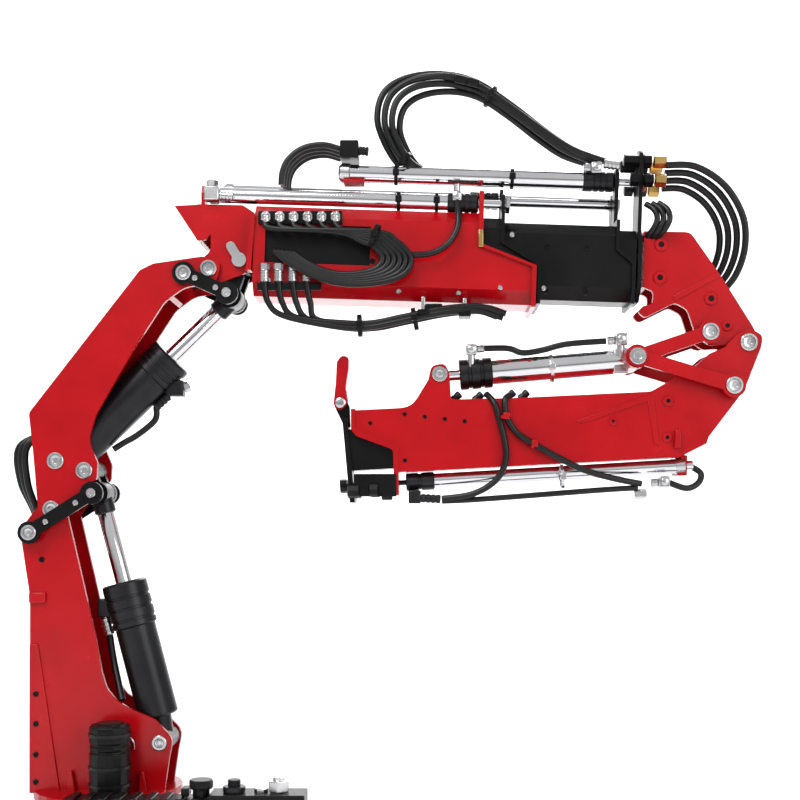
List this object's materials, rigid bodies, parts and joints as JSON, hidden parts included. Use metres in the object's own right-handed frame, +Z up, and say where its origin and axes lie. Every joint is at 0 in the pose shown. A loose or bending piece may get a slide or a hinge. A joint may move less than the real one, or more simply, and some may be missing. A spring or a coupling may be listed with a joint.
{
  "type": "hydraulic loader crane arm",
  "caption": "Model-scale folding loader crane arm: slewing column, two link-driven booms, telescopic extensions with rams, and a folding jib.",
  "frame": {"origin": "on the slewing axis, at the underside of the base", "axes": "+Z up, +X along the arm from the column, +Y to the far side"},
  "size_m": [0.3001, 0.082, 0.3216],
  "materials": {
    "red_paint": "gloss",
    "black_paint": "satin",
    "black_anodised": "satin anodised",
    "chrome": "polished",
    "steel": "satin",
    "brass": "satin",
    "hose_rubber": "matte"
  },
  "bodies": {
    "base": {"base_frame": "black_paint", "slew_ring": "black_anodised", "valve_block": "black_paint", "valve_knob": "black_paint", "port_nut": "steel"},
    "column": {"column": "red_paint", "slew_motor": "black_paint", "link_pin_lower": "steel", "boom_pin_lower": "steel", "lift_foot_pin": "steel"},
    "lift_link": {"lift_link_near": "black_paint", "lift_link_far": "black_paint"},
    "lift_inner_link": {"lift_link_inner": "black_paint"},
    "lift_barrel": {"lift_cylinder": "black_anodised"},
    "lift_piston": {"lift_rod": "chrome"},
    "inner_boom": {"inner_boom": "red_paint", "lift_link_pin": "steel", "knuckle_foot_pin": "steel", "link_pin_upper": "steel", "boom_pin_upper": "steel"},
    "knuckle_link": {"knuckle_link_near": "black_paint", "knuckle_link_far": "black_paint"},
    "knuckle_inner_link": {"knuckle_link_inner": "black_paint"},
    "knuckle_barrel": {"knuckle_cylinder": "black_anodised"},
    "knuckle_piston": {"knuckle_rod": "chrome"},
    "outer_boom": {"outer_boom": "red_paint", "knuckle_link_pin": "steel", "boom_ram_first": "chrome", "side_hoses": "hose_rubber", "lower_hoses": "hose_rubber"},
    "first_section": {"first_extension": "black_paint", "boom_rod_first": "steel", "boom_ram_second": "chrome"},
    "second_section": {"second_extension": "black_paint", "boom_rod_second": "steel", "boom_ram_third": "chrome", "small_loop_hoses": "hose_rubber", "top_loop_hoses": "hose_rubber"},
    "third_section": {"third_extension": "black_paint", "boom_rod_third": "steel", "end_plate": "black_paint", "union_near": "brass", "union_far": "brass", "jib_bracket": "red_paint", "jib_link_pin_upper": "steel", "jib_pin": "steel", "outlet_hoses": "hose_rubber"},
    "jib_upper_link": {"jib_link_upper_near": "red_paint", "jib_link_upper_far": "red_paint"},
    "jib_lower_link": {"jib_link_lower_near": "red_paint", "jib_link_lower_far": "red_paint"},
    "jib_piston": {"jib_rod": "chrome"},
    "jib_barrel": {"jib_cylinder": "chrome"},
    "jib": {"jib_arm": "red_paint", "jib_link_pin_lower": "steel", "jib_rod_pin": "steel", "jib_ram_near": "chrome", "jib_ram_far": "chrome"},
    "jib_extension": {"jib_extension": "black_paint"},
    "hook_lever": {"hook_lever": "red_paint"}
  },
  "joints": [
    {"name": "slew", "type": "hinge", "parent": "base", "child": "column", "pos_m": [0, 0, 0.02], "axis": [0, 0, 1], "range_deg": [-175, 175]},
    {"name": "boom_lift", "type": "hinge", "parent": "column", "child": "inner_boom", "pos_m": [-0.02, 0, 0.1384], "axis": [0, -1, 0], "range_deg": [-60, 8]},
    {"name": "lift_link_swing", "type": "hinge", "parent": "column", "child": "lift_link", "pos_m": [-0.0283, 0, 0.129], "axis": [0, -1, 0], "range_deg": [-45, 10]},
    {"name": "lift_inner_swing", "type": "hinge", "parent": "inner_boom", "child": "lift_inner_link", "pos_m": [-0.0068, 0, 0.1539], "axis": [0, -1, 0], "range_deg": [-10, 50]},
    {"name": "lift_cylinder_swing", "type": "hinge", "parent": "column", "child": "lift_barrel", "pos_m": [0.023, 0, 0.0441], "axis": [0, -1, 0], "range_deg": [-4, 4]},
    {"name": "lift_stroke", "type": "slide", "parent": "lift_barrel", "child": "lift_piston", "axis": [-0.2527, 0, 0.9675], "range_m": [-0.022, 0.005]},
    {"name": "knuckle_fold", "type": "hinge", "parent": "inner_boom", "child": "outer_boom", "pos_m": [0.0431, 0, 0.235], "axis": [0, 1, 0], "range_deg": [-28, 30]},
    {"name": "knuckle_link_swing", "type": "hinge", "parent": "inner_boom", "child": "knuckle_link", "pos_m": [0.0335, 0, 0.2328], "axis": [0, 1, 0], "range_deg": [-22, 26]},
    {"name": "knuckle_inner_swing", "type": "hinge", "parent": "outer_boom", "child": "knuckle_inner_link", "pos_m": [0.0554, 0, 0.2385], "axis": [0, 1, 0], "range_deg": [-22, 22]},
    {"name": "knuckle_cylinder_swing", "type": "hinge", "parent": "inner_boom", "child": "knuckle_barrel", "pos_m": [-0.0183, 0, 0.1578], "axis": [0, 1, 0], "range_deg": [-4, 4]},
    {"name": "knuckle_stroke", "type": "slide", "parent": "knuckle_barrel", "child": "knuckle_piston", "axis": [0.7169, 0, 0.6972], "range_m": [-0.01, 0.008]},
    {"name": "first_extend", "type": "slide", "parent": "outer_boom", "child": "first_section", "axis": [0.9995, 0, -0.0332], "range_m": [0, 0.045]},
    {"name": "second_extend", "type": "slide", "parent": "first_section", "child": "second_section", "axis": [0.9995, 0, -0.0332], "range_m": [-0.026, 0.012]},
    {"name": "third_extend", "type": "slide", "parent": "second_section", "child": "third_section", "axis": [0.9995, 0, -0.0332], "range_m": [0, 0.045]},
    {"name": "jib_fold", "type": "hinge", "parent": "third_section", "child": "jib", "pos_m": [0.2607, 0, 0.2057], "axis": [0, -1, 0], "range_deg": [0, 90]},
    {"name": "jib_upper_link_swing", "type": "hinge", "parent": "third_section", "child": "jib_upper_link", "pos_m": [0.2448, 0, 0.2097], "axis": [0, -1, 0], "range_deg": [-5, 80]},
    {"name": "jib_lower_link_swing", "type": "hinge", "parent": "jib", "child": "jib_lower_link", "pos_m": [0.2538, 0, 0.1879], "axis": [0, -1, 0], "range_deg": [-48, 5]},
    {"name": "jib_rod_swing", "type": "hinge", "parent": "jib", "child": "jib_piston", "pos_m": [0.136, 0, 0.1929], "axis": [0, -1, 0], "range_deg": [-3, 16]},
    {"name": "jib_stroke", "type": "slide", "parent": "jib_piston", "child": "jib_barrel", "axis": [0.9965, 0, 0.0833], "range_m": [-0.002, 0.026]},
    {"name": "jib_extend", "type": "slide", "parent": "jib", "child": "jib_extension", "axis": [-0.9982, 0, -0.0593], "range_m": [0, 0.04]},
    {"name": "hook_latch", "type": "hinge", "parent": "jib_extension", "child": "hook_lever", "pos_m": [0.0956, 0, 0.1817], "axis": [0, -1, 0], "range_deg": [0, 60]}
  ],
  "couplings": [
    {"joint": "lift_link_swing", "follows": "boom_lift", "ratio": 0.66718},
    {"joint": "lift_inner_swing", "follows": "boom_lift", "ratio": -0.74568},
    {"joint": "lift_cylinder_swing", "follows": "boom_lift", "ratio": 0.010903},
    {"joint": "lift_stroke", "follows": "boom_lift", "m_per_rad": 0.019312},
    {"joint": "knuckle_link_swing", "follows": "knuckle_fold", "ratio": 0.56554},
    {"joint": "knuckle_inner_swing", "follows": "knuckle_fold", "ratio": -0.43317},
    {"joint": "knuckle_cylinder_swing", "follows": "knuckle_fold", "ratio": 0.035383},
    {"joint": "knuckle_stroke", "follows": "knuckle_fold", "m_per_rad": -0.010045},
    {"joint": "jib_upper_link_swing", "follows": "jib_fold", "ratio": 0.86219},
    {"joint": "jib_lower_link_swing", "follows": "jib_fold", "ratio": -0.43773},
    {"joint": "jib_rod_swing", "follows": "jib_fold", "ratio": 0.13126},
    {"joint": "jib_stroke", "follows": "jib_fold", "m_per_rad": 0.012419}
  ]
}
